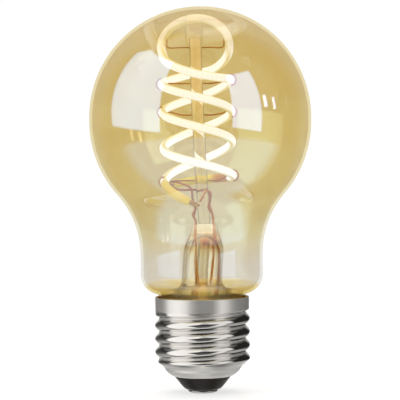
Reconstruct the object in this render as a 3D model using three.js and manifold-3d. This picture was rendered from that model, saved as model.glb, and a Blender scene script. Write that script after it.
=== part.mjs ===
// LED filament lamp on an E27 screw cap, with its Wi-Fi driver inside the cap. Millimetres, +Z up the lamp's axis,
// -Y is the front. The origin is the middle of the centre contact's flat face.
import * as THREE from "three";
import { mergeVertices } from "three/addons/utils/BufferGeometryUtils.js";
import Module from "manifold-3d";

const wasm = await Module();
wasm.setup();

// ---- Driving dimensions ----
const lampLength = 105.4;
const bulbRadius = 30.25;
const equatorHeight = 0.95; // straight belt between the two halves of the round
const neckRadius = 16.7;
const neckBottom = 32.6; // the straight of the neck
const neckTop = 38;
const shoulderRadius = 5.5; // turns the neck in to the cap
const glassWall = 0.8;
const mouthRadius = 11.7; // the end of the glass, cemented into the cap
const mouthZ = 25.2;

const capTop = 26.3; // top of the plain band
const bandRadius = 12.85;
const threadRadius = 13.05; // over the crests
const threadDepth = 1.2;
const threadPitch = 25.4 / 7; // seven turns to the inch, right-handed
const grooveRound = 0.2; // 0 for a sharp groove between round crests
const crestZ = 20.4; // height of the top crest on the +X side
const sheetWall = 0.3; // the cap is pressed from sheet metal

const tubeRadius = 5.5; // the stem
const tubeWall = 0.9;
const pressBottom = 39; // where the tube is squeezed flat
const pressTop = 46.4;
const pressHalfWidth = 3.5;
const pressFlatness = 0.46; // depth of the press as a share of its width
const pressShift = 0.9; // the stem's top stands this far to the right of the axis
const exhaustRadius = 1.6;
const exhaustWall = 0.5;
const exhaustTip = 14.5;
const postRadius = 1.7;
const postTop = 96.8;
const postLean = -3.4; // the post leans back to the left by this over its length
const postBow = 1.38; // and straightens up by this much of it

const coilRadius = 9.3; // axis of the filament's two strands
const coilShift = -0.6; // the coil stands left of the lamp's axis at coilFoot
const coilFoot = 58;
const coilLean = -0.0148; // and leans further left as it rises
const filamentRadius = 1.15;
const leadX = 2.4; // each lead from the middle of the press, sideways
const leadY = 0.55; // and to the front or back
const leadRadius = 0.3;
const supportRadius = 0.2;
const seam = 0.15; // gap between pieces that are fused, glued or soldered together

// Heights of the two strands of the filament, [degrees wound from the arch, height].
const leftStrand = [
  [0, 94.5],
  [30, 90.5],
  [60, 88.4],
  [90, 86.7],
  [135, 85.7],
  [180, 85.4],
  [270, 81],
  [360, 76.7],
  [450, 72.6],
  [540, 68.5],
  [630, 63.2],
  [720, 57.7],
  [790, 53],
];
const rightStrand = [
  [0, 94.5],
  [30, 91.2],
  [60, 88.7],
  [90, 87.7],
  [135, 86],
  [180, 84.4],
  [270, 80.6],
  [360, 76.7],
  [450, 72],
  [540, 66.9],
  [630, 62.9],
  [720, 59.3],
  [810, 58],
  [858, 56.9],
];
const archRise = 7.7; // the arch that joins the strands above the post
const archSwing = 3.5; // how far it bows to the back on the left and to the front on the right

// ---- Geometry helpers ----
const v3 = (x, y, z) => new THREE.Vector3(x, y, z);
const radians = THREE.MathUtils.degToRad;
const smooth = (from, to, x) => THREE.MathUtils.smoothstep(x, from, to);

// Points of an arc in the [radius, height] plane.
function arc(centreR, centreZ, radius, fromDeg, toDeg, steps) {
  const points = [];
  for (let i = 0; i <= steps; i++) {
    const a = radians(fromDeg + ((toDeg - fromDeg) * i) / steps);
    points.push([centreR + radius * Math.cos(a), centreZ + radius * Math.sin(a)]);
  }
  return points;
}

// A turned piece about Z. Its [radius, height] outline runs down the inside and up the outside.
function turned(outline, segments) {
  const points = outline.map(([r, z]) => new THREE.Vector2(r < 1e-6 ? 0 : r, z));
  return new THREE.LatheGeometry(points, segments).rotateX(Math.PI / 2);
}

const closed = (outline) => [...outline, outline[0]];

// Moves every vertex of a geometry by a rule.
function reshape(geometry, rule) {
  const position = geometry.getAttribute("position");
  const p = v3(0, 0, 0);
  for (let i = 0; i < position.count; i++) {
    p.fromBufferAttribute(position, i);
    rule(p);
    position.setXYZ(i, p.x, p.y, p.z);
  }
  return geometry;
}

// A round wire along a smooth path through the points.
function wire(points, radius, steps, sides = 8) {
  const section = new THREE.Shape();
  for (let i = 0; i < sides; i++) {
    const a = (2 * Math.PI * i) / sides;
    section[i ? "lineTo" : "moveTo"](radius * Math.cos(a), radius * Math.sin(a));
  }
  const path = new THREE.CatmullRomCurve3(points, false, "centripetal");
  return new THREE.ExtrudeGeometry(section, { steps, extrudePath: path, bevelEnabled: false });
}

const box = (width, depth, height, x, y, z) => new THREE.BoxGeometry(width, depth, height).translate(x, y, z);

// A round bar along X, Y or Z, centred on a point.
function bar(radius, length, axis, x, y, z, sides = 16) {
  const g = new THREE.CylinderGeometry(radius, radius, length, sides);
  if (axis === "x") g.rotateZ(Math.PI / 2);
  if (axis === "z") g.rotateX(Math.PI / 2);
  return g.translate(x, y, z);
}

function solidOf(geometry) {
  const bare = geometry.clone();
  bare.deleteAttribute("normal");
  bare.deleteAttribute("uv");
  const merged = mergeVertices(bare, 1e-4);
  const vertProperties = merged.getAttribute("position").array;
  const triVerts = new Uint32Array(merged.index.array);
  return new wasm.Manifold(new wasm.Mesh({ numProp: 3, vertProperties, triVerts }));
}

function geometryOf(solid) {
  const mesh = solid.getMesh();
  const g = new THREE.BufferGeometry();
  g.setAttribute("position", new THREE.BufferAttribute(new Float32Array(mesh.vertProperties), 3));
  g.setIndex(new THREE.BufferAttribute(mesh.triVerts, 1));
  g.computeVertexNormals();
  return g;
}

const join = (pieces) => geometryOf(pieces.map(solidOf).reduce((a, b) => a.add(b)));
const cut = (piece, tools) => geometryOf(tools.map(solidOf).reduce((a, b) => a.subtract(b), solidOf(piece)));

// ---- Materials ----
const material = (color, roughness, metalness = 0, extra = {}) =>
  new THREE.MeshStandardMaterial({ color, roughness, metalness, ...extra });
const amberGlass = material(0xdcc178, 0.03, 0, { transparent: true, opacity: 0.35 });
const clearGlass = material(0xe8dfc4, 0.03, 0, { transparent: true, opacity: 0.35 });
const phosphor = material(0xf6e2a0, 0.5, 0, { emissive: 0xffe9c0 });
const nickel = material(0xc9c6bf, 0.2, 1);
const supportMetal = material(0x8a6a45, 0.35, 1);
const copper = material(0xc78a58, 0.3, 1);
const tinned = material(0xbfc0c0, 0.3, 1);
const whiteSleeve = material(0xe9e2d2, 0.7);
const blackGlass = material(0x26211f, 0.25);
const cement = material(0xb49a66, 0.9);
const liner = material(0xd8d8d2, 0.5);
const greenBoard = material(0x1f5a34, 0.5);
const blackBoard = material(0x1b2426, 0.5);
const chipBlack = material(0x1c1c1e, 0.6);
const canSleeve = material(0x2b2d4a, 0.4);
const filmYellow = material(0xb8912e, 0.5);
const ferrite = material(0x3a3a3c, 0.8);
const resistorBody = material(0x7fa08c, 0.6);
const varistorBlue = material(0x2c5aa0, 0.5);
const redWire = material(0xb52a22, 0.5);
const blackWire = material(0x222222, 0.5);

const lamp = new THREE.Group();
function add(name, geometry, finish) {
  const mesh = new THREE.Mesh(geometry, finish.clone());
  mesh.name = name;
  lamp.add(mesh);
}

// ---- Glass envelope: mouth, shoulder, neck, hollow fillet and round ----
const upperCentre = lampLength - bulbRadius;
const lowerCentre = upperCentre - equatorHeight;
const fall = lowerCentre - neckTop;
// The fillet leaves the neck at neckTop and touches the round.
const filletRadius = (neckRadius ** 2 + fall ** 2 - bulbRadius ** 2) / (2 * (bulbRadius - neckRadius));
const filletCentre = neckRadius + filletRadius;
const meetDeg = THREE.MathUtils.radToDeg(Math.atan2(-fall, filletCentre));

function glassOutline(inset, turnDeg) {
  return [
    [mouthRadius - inset, mouthZ],
    ...arc(neckRadius - shoulderRadius, neckBottom, shoulderRadius - inset, turnDeg, 0, 5),
    ...arc(filletCentre, neckTop, filletRadius + inset, 180, 180 + meetDeg, 6),
    ...arc(0, lowerCentre, bulbRadius - inset, meetDeg, 0, 5).slice(1),
    ...arc(0, upperCentre, bulbRadius - inset, 0, 90, 9),
  ];
}
const glass = [...glassOutline(glassWall, -88).reverse(), ...glassOutline(0, -82)];
add("glass_envelope", turned(glass, 36), amberGlass);

// ---- Stem: a flared tube squeezed flat round the leads, with the exhaust tube inside it ----
const stemShift = (z) => pressShift * smooth(29, pressTop, z);
const flareRim = mouthRadius - glassWall - seam;
const stemOutline = [
  [0, 43],
  [2.2, 42.2],
  [3.7, 40.6],
  [tubeRadius - tubeWall, 38.2],
  [tubeRadius - tubeWall, 29.4],
  [5.6, 27.6],
  [8, 26.3],
  [flareRim - 0.2, 25.7],
  [flareRim, 26.4],
  [8.6, 27.1],
  [6.4, 28.2],
  [tubeRadius, 29.8],
  [tubeRadius, pressBottom],
  [5.1, 40.8],
  [4.2, 43],
  [pressHalfWidth, 45],
  [pressHalfWidth, pressTop - 0.3],
  [pressHalfWidth - 0.4, pressTop],
  [0, pressTop],
];
const stem = reshape(turned(stemOutline, 20), (p) => {
  p.y *= 1 - (1 - pressFlatness) * smooth(pressBottom, pressBottom + 5, p.z);
  p.x += stemShift(p.z);
});
const leadPlaces = [];
for (const side of [-1, 1]) for (const back of [-1, 1]) leadPlaces.push([pressShift + side * leadX, back * leadY]);
const leadHoles = leadPlaces.map(([x, y]) => bar(leadRadius + 0.12, 12, "z", x, y, pressTop - 2, 8));
add("stem_flare", cut(stem, leadHoles), clearGlass);

const exhaustBore = exhaustRadius - exhaustWall;
const exhaustTop = 41.8;
const exhaustOutline = [
  [0, exhaustTip],
  [0.9, exhaustTip + 0.7],
  [exhaustRadius, exhaustTip + 3],
  [exhaustRadius, 29],
  [exhaustRadius, 35],
  [exhaustRadius, exhaustTop],
  [exhaustBore, exhaustTop],
  [exhaustBore, 35],
  [exhaustBore, 29],
  [exhaustBore, exhaustTip + 3],
  [0, exhaustTip + 1.6],
];
const exhaust = reshape(turned(exhaustOutline, 12), (p) => {
  p.x += stemShift(p.z);
});
add("exhaust_tube", exhaust, clearGlass);

function postShift(z) {
  const rise = (z - pressTop) / (postTop - pressTop);
  return pressShift + postLean * rise + postBow * rise * rise;
}
const postFoot = pressTop + seam;
const postOutline = [
  [0, postFoot],
  [postRadius - 0.3, postFoot],
  [postRadius, postFoot + 0.5],
  [postRadius, 60],
  [postRadius, 77],
  [postRadius, postTop - 0.4],
  [postRadius - 0.4, postTop],
  [0, postTop],
];
const post = reshape(turned(postOutline, 16), (p) => {
  p.x += postShift(p.z);
});
add("filament_post", post, clearGlass);

// ---- Filament: two strands wound down round the post from an arch over its top ----
// A smooth curve through [x, y] knots: cubic between knots, sloped at each by its neighbours.
function through(knots, x) {
  let i = 0;
  while (i < knots.length - 2 && x > knots[i + 1][0]) i++;
  const slope = (k) => {
    const a = knots[Math.max(0, k - 1)];
    const b = knots[Math.min(knots.length - 1, k + 1)];
    return (b[1] - a[1]) / (b[0] - a[0]);
  };
  const [x0, y0] = knots[i];
  const [x1, y1] = knots[i + 1];
  const span = x1 - x0;
  const t = (x - x0) / span;
  const rise = y1 - y0;
  const bend = slope(i) * span + slope(i + 1) * span - 2 * rise;
  return y0 + slope(i) * span * t + (rise - slope(i) * span - bend) * t * t + bend * t * t * t;
}

const leaned = (x, y, z) => v3(x + coilShift + coilLean * (z - coilFoot), y, z);

// side is -1 for the strand that leaves the arch on the left and 1 for the one on the right.
function strandPoint(side, deg) {
  const a = radians(deg);
  const height = through(side < 0 ? leftStrand : rightStrand, deg);
  return leaned(side * coilRadius * Math.cos(a), side * coilRadius * Math.sin(a), height);
}

const strandEnd = (side) => (side < 0 ? leftStrand : rightStrand).at(-1)[0];
const strandStep = 20;
const filamentPath = [];
for (let deg = strandEnd(-1); deg > 0; deg -= strandStep) filamentPath.push(strandPoint(-1, deg));
for (let deg = 0; deg <= 180; deg += strandStep) {
  const a = radians(deg);
  const x = -coilRadius * Math.cos(a);
  filamentPath.push(leaned(x, archSwing * Math.sin(2 * a), leftStrand[0][1] + archRise * Math.sin(a)));
}
for (let deg = strandStep; deg < strandEnd(1); deg += strandStep) filamentPath.push(strandPoint(1, deg));
filamentPath.push(strandPoint(1, strandEnd(1)));
add("led_filament", wire(filamentPath, filamentRadius, 144), phosphor);

// A metal end piece carries each strand on for a few degrees and takes its lead.
const terminalTurn = 13;
const terminalGap = 2;
function terminalPoint(side, turn) {
  const end = strandEnd(side);
  const slope = (strandPoint(side, end).z - strandPoint(side, end - 10).z) / 10;
  const a = radians(end + turn);
  const z = strandPoint(side, end).z + slope * turn;
  return leaned(side * coilRadius * Math.cos(a), side * coilRadius * Math.sin(a), z);
}
for (const [name, side] of [
  ["filament_terminal_left", -1],
  ["filament_terminal_right", 1],
]) {
  const turns = [terminalGap, terminalGap + terminalTurn / 2, terminalGap + terminalTurn];
  const path = turns.map((turn) => terminalPoint(side, turn));
  add(name, wire(path, 0.75, 4), nickel);
}

// ---- Leads: two pairs, from inside the flare up through the press and out to the filament's ends ----
const boardTop = 21.6;
const driverY = 3.5;
const rightTip = terminalPoint(1, terminalGap + terminalTurn + 4);
const leftTip = terminalPoint(-1, terminalGap + terminalTurn + 4);
// Each lead has its side of the press, front (-1) or back (1), its foot in the flare, its bends and its tip.
const leads = {
  left_front: {
    side: -1,
    back: -1,
    foot: v3(-0.9, -2.4, 29.2),
    bends: [v3(-2, -1.4, 48.6), v3(-1.6, -2.6, 50.6), v3(-2.4, -4.6, 52.8), v3(-1.2, -6.4, 52.2), v3(-0.6, -8, 51.9)],
    tip: leftTip,
    board: -4.5,
  },
  left_back: {
    side: -1,
    back: 1,
    foot: v3(-1.6, 2.4, 29.2),
    bends: [v3(-2.3, 1.4, 49), v3(-1.4, 2.2, 51), v3(-2.3, 2.6, 53.4), v3(-2.8, 2.3, 55.8), v3(-5.6, 2.4, 57.3)],
    tip: v3(-8.1, 3.8, 57.8),
    board: -2.2,
  },
  right_front: {
    side: 1,
    back: -1,
    foot: v3(2.2, -2, 29.2),
    bends: [v3(3.1, -1.6, 49), v3(2, -2.6, 51), v3(2.5, -3, 53.4), v3(1.6, -4.6, 55.4), v3(0.7, -7, 54.4)],
    tip: v3(-0.3, -9, 52.9),
    board: 4.6,
  },
  right_back: {
    side: 1,
    back: 1,
    foot: v3(2.4, 2.4, 29.2),
    bends: [v3(2.9, 1.8, 49.6), v3(2.2, 2.4, 52.4), v3(2.6, 3.2, 54.6), v3(-1.6, 4.4, 55.4), v3(-5.6, 4, 55.4)],
    tip: rightTip,
    board: 2.2,
  },
};
for (const [name, { side, back, foot, bends, tip, board }] of Object.entries(leads)) {
  const x = pressShift + side * leadX;
  const y = back * leadY;
  const rising = [v3((foot.x + x) / 2 + side * 0.3, back * 1.4, 36), v3(x, y, 41), v3(x, y, 44), v3(x, y, 47)];
  add(`lead_in_${name}`, wire([foot, ...rising, ...bends, tip], leadRadius, 44, 6), nickel);
  // A sleeved lead carries on from the flare down to the driver board.
  const sleeveTop = v3(foot.x, foot.y, foot.z - 0.3);
  const above = v3((foot.x + board) / 2, back < 0 ? -1.2 : 3, 25.8);
  const run = [sleeveTop, above, v3(board, back < 0 ? 1 : 3.3, 23.6), v3(board, driverY, boardTop + 0.4)];
  add(`outer_lead_${name}`, wire(run, 0.6, 16), whiteSleeve);
}

// ---- Supports: thin wires from the post, each hooked round a strand, or turned up inside it at the top ----
function support(strand, deg, rootZ, isTop) {
  const centre = strandPoint(strand, deg);
  const along = strandPoint(strand, deg + 4).sub(strandPoint(strand, Math.max(0, deg - 4))).normalize();
  const root = v3(postShift(rootZ), 0, rootZ);
  const side = Math.sign(centre.x - root.x);
  const inward = v3(-side, 0, 0);
  inward.addScaledVector(along, -inward.dot(along)).normalize();
  const over = v3(0, 0, 0).crossVectors(along, inward).multiplyScalar(side);
  const hookRadius = filamentRadius + supportRadius + 0.2;
  const points = [postRadius + seam, postRadius + 2.5].map((reach) => root.clone().add(v3(side * reach, 0, 0)));
  if (isTop) {
    const inside = centre.x - side * hookRadius;
    points.push(v3(inside - side * 0.5, 0, rootZ), v3(inside, 0, rootZ + 0.5), v3(inside, 0, rootZ + 2.2));
    return wire(points, supportRadius, 20, 5);
  }
  for (let turn = 0; turn <= 260; turn += 32.5) {
    const a = radians(turn);
    const spoke = inward.clone().multiplyScalar(Math.cos(a)).addScaledVector(over, Math.sin(a));
    points.push(centre.clone().addScaledVector(spoke, hookRadius));
  }
  return wire(points, supportRadius, 20, 5);
}
// Each row has its name, the strand it holds on the left, how far round the strands, and its height on the post.
const supportRows = [
  ["top", -1, 0, 94.3],
  ["upper", 1, 180, 84.5],
  ["middle", -1, 360, 75.9],
  ["low", -1, 720, 58],
];
for (const [row, strand, deg, rootZ] of supportRows) {
  add(`support_${row}_left`, support(strand, deg, rootZ, row === "top"), supportMetal);
  add(`support_${row}_right`, support(-strand, deg, rootZ, row === "top"), supportMetal);
}

// ---- Screw shell: one pressed sheet with a plain band, a rolled thread and a lip round the insulator ----
const rootRadius = threadRadius - threadDepth;
const threadBottom = 8.3;
const shellOutside = [
  [8, 4.6],
  [8.8, 5.05],
  [9.6, 5.65],
  [10.2, 6.3],
  [10.6, 7.1],
  [11.2, 7.7],
];
const shellInside = [
  [10.95, 7.95],
  [10.3, 7.25],
  [9.9, 6.45],
  [9.4, 5.9],
  [8.65, 5.35],
  [7.9, 4.93],
];
const rolled = [];
const rolledSteps = 27;
for (let i = 0; i <= rolledSteps; i++) rolled.push(threadBottom + ((23.2 - threadBottom) * i) / rolledSteps);

// Outside radius of the sheet at an angle and height: round crests between narrow grooves, run out at the bottom and
// into the band on top.
function rolledRadius(angle, z) {
  const phase = (z - crestZ) / threadPitch - angle / (2 * Math.PI);
  const lifted = Math.hypot(Math.cos(Math.PI * phase), grooveRound) - grooveRound;
  const wave = lifted / (Math.hypot(1, grooveRound) - grooveRound);
  const thread = rootRadius + threadDepth * wave * smooth(threadBottom - 0.6, threadBottom + 1.2, z);
  const bandEdge = 21.6 + 0.7 * Math.cos(angle);
  return THREE.MathUtils.lerp(thread, bandRadius, smooth(bandEdge, bandEdge + 0.8, z));
}

const shellOutline = [
  [bandRadius - sheetWall, capTop],
  ...[...rolled].reverse().map((z) => [rootRadius - sheetWall, z]),
  ...shellInside,
  ...shellOutside,
  ...rolled.map((z) => [rootRadius, z]),
  [bandRadius, capTop],
];
const shell = reshape(turned(closed(shellOutline), 32), (p) => {
  if (p.z < threadBottom - 0.01 || p.z > rolled.at(-1) + 0.01) return;
  const angle = Math.atan2(p.y, p.x);
  const inside = Math.hypot(p.x, p.y) < rootRadius - sheetWall / 2;
  const radius = rolledRadius(angle, p.z) - (inside ? sheetWall : 0);
  p.x = radius * Math.cos(angle);
  p.y = radius * Math.sin(angle);
});
add("screw_shell", shell, nickel);

// ---- Insulator, centre contact and cement ----
const insulatorOutline = [
  [1.7, 4.4],
  [1.7, 0.6],
  [2.7, 0.6],
  [3.2, 0.7],
  [3.55, 0.95],
  [4.4, 0.9],
  [5.2, 1.35],
  [6.1, 2.4],
  [6.95, 3.5],
  [7.45, 4.1],
  [7.75, 4.55],
  [7.75, 5.05],
  [8.6, 5.55],
  [9.2, 6.05],
  [9.2, 6.3],
  [8.4, 6.3],
  [7.2, 4.9],
];
add("cap_insulator", turned(closed(insulatorOutline), 24), blackGlass);

const contactOutline = [
  [0, 0],
  [2.7, 0],
  [3.5, 0.12],
  [4, 0.42],
  [4.05, 0.75],
  [3.7, 0.75],
  [3.35, 0.5],
  [2.7, 0.4],
  [0, 0.4],
];
add("centre_contact", turned(contactOutline, 24), nickel);

const cementOutline = [
  [11.87, mouthZ - seam],
  [10.6, mouthZ - seam],
  [10.6, 22.4],
  [11.3, 22.4],
  [12.4, 23.6],
  [12.4, capTop - 0.1],
  [12.15, capTop - 0.1],
];
add("cap_cement", turned(closed(cementOutline), 24), cement);

// ---- Inside the cap: liner, driver board and Wi-Fi board ----
const linerOutline = [
  [10.9, 21.5],
  [10.9, 8.9],
  [11.3, 8.9],
  [11.3, 21.5],
];
add("cap_liner", turned(closed(linerOutline), 24), liner);

const driverFront = driverY - 0.5;
const driverBack = driverY + 0.5;
add("driver_board", box(17, 1, 12.8, 0, driverY, boardTop - 6.4), greenBoard);
add("bridge_rectifier", box(4.2, 1.1, 3.8, -6, driverFront - seam - 0.55, 17), chipBlack);
add("driver_chip", box(4, 1.1, 5, 6, driverFront - seam - 0.55, 16.5), chipBlack);

const smoothingCap = [
  [0, 0],
  [2.2, 0],
  [2.5, 0.3],
  [2.5, 1.1],
  [2.3, 1.4],
  [2.5, 1.7],
  [2.5, 8.7],
  [2.2, 9],
  [0, 9],
];
add("bulk_capacitor", turned(smoothingCap, 20).translate(0, driverBack + seam + 2.5, 9.6), canSleeve);
add("film_capacitor", box(4.2, 2.6, 5.5, 5.4, driverBack + seam + 1.3, 17), filmYellow);
add("varistor", bar(2.2, 1.6, "y", 5.2, driverBack + seam + 0.8, 11.2, 20), varistorBlue);

const inductorX = -5.2;
const inductorY = driverBack + seam + 1.95;
const drum = [
  [0, 0],
  [1.9, 0],
  [1.9, 0.8],
  [1, 0.8],
  [1, 4.2],
  [1.9, 4.2],
  [1.9, 5],
  [0, 5],
];
const winding = [
  [1.15, 4.05],
  [1.15, 0.95],
  [1.7, 0.95],
  [1.7, 4.05],
];
add("inductor_core", turned(drum, 20).translate(inductorX, inductorY, 10), ferrite);
add("inductor_winding", turned(closed(winding), 20).translate(inductorX, inductorY, 10), copper);

const wifiY = -4.2;
const wifiFront = wifiY - 0.4;
add("wifi_board", box(11, 0.8, 12.6, 0, wifiY, boardTop - 0.2 - 6.3), blackBoard);
const canY = wifiFront - seam - 0.9;
const shieldCan = cut(box(8.6, 1.8, 7.6, 0, canY, 13), [box(8, 2, 7, 0, canY + 0.4, 13)]);
add("wifi_shield_can", shieldCan, tinned);
add("wifi_chip", box(4.6, 0.8, 4.6, 0, wifiFront - seam - 0.4, 13), chipBlack);

// The antenna is one folded copper track across the top of the board.
const antennaY = wifiFront - seam - 0.1;
const track = [];
for (let i = 0; i <= 8; i++) {
  const x = -4 + i;
  track.push(box(0.4, 0.2, 2.4, x, antennaY, 19.2));
  if (i < 8) track.push(box(1.4, 0.2, 0.4, x + 0.5, antennaY, i % 2 ? 18.2 : 20.2));
}
add("antenna", join(track), copper);

// Pin header from the Wi-Fi board across to the driver board.
const headerZ = 10.6;
const headerFrom = wifiY + 0.4 + seam;
const headerTo = driverFront - seam;
const header = [box(9, 2.2, 2, 0, 0, headerZ)];
for (let i = -2; i <= 2; i++) {
  header.push(box(0.5, headerTo - headerFrom, 0.5, i * 1.8, (headerFrom + headerTo) / 2, headerZ));
}
add("board_header", join(header), chipBlack);

// ---- Mains side: fuse resistor and the wires to the contact and the shell ----
const fuseOutline = [
  [0, -5.4],
  [0.25, -5.4],
  [0.25, -3.2],
  [1.1, -2.9],
  [1.1, 2.9],
  [0.25, 3.2],
  [0.25, 5.4],
  [0, 5.4],
];
const fuse = turned(fuseOutline, 12).rotateY(Math.PI / 2).translate(0, -1, 7.4);
add("fuse_resistor", fuse, resistorBody);
const liveRun = [v3(0, 0, 0.6), v3(0, 0, 3.4), v3(1.5, -0.5, 5), v3(4.4, -1, 5.5), v3(6, -1, 7)];
add("live_wire", wire(liveRun, 0.35, 18), redWire);
const neutralRun = [v3(-6.4, driverY, 8.5), v3(-7.2, driverY, 7.3), v3(-9, driverY - 0.2, 7.4)];
add("neutral_wire", wire(neutralRun, 0.3, 10), blackWire);

export default lamp;
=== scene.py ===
import math

import bpy
import numpy as np
from mathutils import Matrix, Vector


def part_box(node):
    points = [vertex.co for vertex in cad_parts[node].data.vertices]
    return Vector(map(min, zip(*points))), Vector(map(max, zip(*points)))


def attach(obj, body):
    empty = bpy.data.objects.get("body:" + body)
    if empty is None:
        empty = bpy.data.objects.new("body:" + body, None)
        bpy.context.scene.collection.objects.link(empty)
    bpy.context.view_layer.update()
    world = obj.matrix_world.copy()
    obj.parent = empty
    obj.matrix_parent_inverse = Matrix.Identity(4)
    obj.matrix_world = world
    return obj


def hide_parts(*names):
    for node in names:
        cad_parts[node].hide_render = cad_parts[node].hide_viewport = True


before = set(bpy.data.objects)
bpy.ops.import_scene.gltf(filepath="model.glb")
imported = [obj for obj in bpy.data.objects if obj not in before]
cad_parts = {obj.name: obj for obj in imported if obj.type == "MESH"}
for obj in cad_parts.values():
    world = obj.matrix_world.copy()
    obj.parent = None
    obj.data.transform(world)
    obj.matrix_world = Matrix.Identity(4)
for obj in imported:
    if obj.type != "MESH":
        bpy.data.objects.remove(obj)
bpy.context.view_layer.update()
print("frame loaded")

mm = 0.001  # shapes below are worked out in millimetres and stored in metres


# the box of a CAD node in millimetres, lowest corner then highest
def boxOf(nodeName):
    return [np.array(corner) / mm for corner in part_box(nodeName)]


# Mesh helpers


def linked(name, data):
    made = bpy.data.objects.new(name, data)
    bpy.context.scene.collection.objects.link(made)
    return made


# Every quad joins a point, the next one round, and the same two in the next row.
def quadsBetween(ids):
    across = np.roll(ids, -1, axis=1)
    return np.stack([ids[:-1], across[:-1], across[1:], ids[1:]], -1).reshape(-1, 4)


# Rows of a grid joined by quads. A grid that isn't closed has a pole row at each end, which shrinks to
# one point.
def gridObject(name, grid, closedRows=False, sharpDeg=50, facts=None):
    rows, columns = grid.shape[:2]
    ids = np.arange(rows * columns).reshape(rows, columns)
    if closedRows:
        quads, triangles = quadsBetween(np.vstack([ids, ids[:1]])), np.zeros((0, 3), int)
    else:
        across = np.roll(ids, -1, axis=1)
        start = np.stack([np.full(columns, ids[0, 0]), across[1], ids[1]], -1)
        end = np.stack([ids[-2], across[-2], np.full(columns, ids[-1, 0])], -1)
        quads, triangles = quadsBetween(ids[1:-1]), np.vstack([start, end])
    used, flat = np.unique(np.concatenate([quads.ravel(), triangles.ravel()]), return_inverse=True)
    faces = flat[:quads.size].reshape(-1, 4).tolist() + flat[quads.size:].reshape(-1, 3).tolist()
    mesh = bpy.data.meshes.new(name)
    mesh.from_pydata((grid.reshape(-1, 3)[used] * mm).tolist(), [], faces)
    mesh.shade_smooth()
    mesh.set_sharp_from_angle(angle=math.radians(sharpDeg))
    for factName, values in (facts or {}).items():
        layer = mesh.attributes.new(factName, "FLOAT", "POINT")
        layer.data.foreach_set("value", values.reshape(-1)[used].astype(np.float32))
    return linked(name, mesh)


# A turned surface: each outline point [r, z] goes round Z as (r cos a, r sin a, z).
def turned(outline, columns):
    outline = np.asarray(outline, float)
    angle = np.linspace(0, 2 * math.pi, columns, endpoint=False)
    radius = outline[:, :1]
    x = radius * np.cos(angle)
    y = radius * np.sin(angle)
    z = np.broadcast_to(outline[:, 1:2], x.shape)
    return np.stack([x, y, z], -1)


# Each corner of an outline is swapped for the parabola that leaves and meets its sides a little way
# from the corner.
def softened(outline, reach, steps=4, closedOutline=True):
    points = np.asarray(outline, float)
    before, after = np.roll(points, 1, axis=0), np.roll(points, -1, axis=0)
    toBefore, toAfter = before - points, after - points
    lengthBefore = np.linalg.norm(toBefore, axis=1, keepdims=True)
    lengthAfter = np.linalg.norm(toAfter, axis=1, keepdims=True)
    leave = points + toBefore * np.minimum(reach / lengthBefore, 0.48)
    meet = points + toAfter * np.minimum(reach / lengthAfter, 0.48)
    t = np.linspace(0, 1, steps)[None, :, None]
    curves = (1 - t) ** 2 * leave[:, None] + 2 * t * (1 - t) * points[:, None] + t**2 * meet[:, None]
    if closedOutline:
        return curves.reshape(-1, 2)
    return np.vstack([points[:1], curves[1:-1].reshape(-1, 2), points[-1:]])


# Straight runs longer than a step get points between their ends.
def divided(outline, step):
    points = np.asarray(outline, float)
    pieces = [points[:1]]
    for start, end in zip(points[:-1], points[1:]):
        count = max(1, int(math.ceil(np.linalg.norm(end - start) / step)))
        t = np.linspace(0, 1, count + 1)[1:, None]
        pieces.append(start + (end - start) * t)
    return np.vstack(pieces)


# Points [cr + r cos a, cz + r sin a] of an arc, with a going evenly between two angles.
def arc(centreR, centreZ, radius, fromDeg, toDeg, steps):
    a = np.radians(np.linspace(fromDeg, toDeg, steps + 1))
    return np.stack([centreR + radius * np.cos(a), centreZ + radius * np.sin(a)], -1)


# 0 below low, 1 above high, and 3t^2 - 2t^3 between them
def smooth(low, high, x):
    t = np.clip((x - low) / (high - low), 0, 1)
    return t * t * (3 - 2 * t)


# A smooth curve through the points: a cubic on each span, whose end slopes come from its neighbours
# and are timed by the square root of the spans' lengths.
def smoothPath(points, steps):
    p = np.asarray(points, float)
    p = np.vstack([2 * p[0] - p[1], p, 2 * p[-1] - p[-2]])
    chord = np.diff(p, axis=0)
    timing = np.sqrt(np.linalg.norm(chord, axis=1, keepdims=True))
    before, own, after = timing[:-2], timing[1:-1], timing[2:]
    leave = (chord[:-2] / before - (p[2:-1] - p[:-3]) / (before + own) + chord[1:-1] / own) * own
    meet = (chord[1:-1] / own - (p[3:] - p[1:-2]) / (own + after) + chord[2:] / after) * own
    start, end = p[1:-2, None], p[2:-1, None]
    leave, meet = leave[:, None], meet[:, None]
    t = np.linspace(0, 1, steps, endpoint=False)[None, :, None]
    curve = start + leave * t + (3 * (end - start) - 2 * leave - meet) * t**2
    curve = curve + (2 * (start - end) + leave + meet) * t**3
    return np.vstack([curve.reshape(-1, 3), p[-2:-1]])


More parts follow.
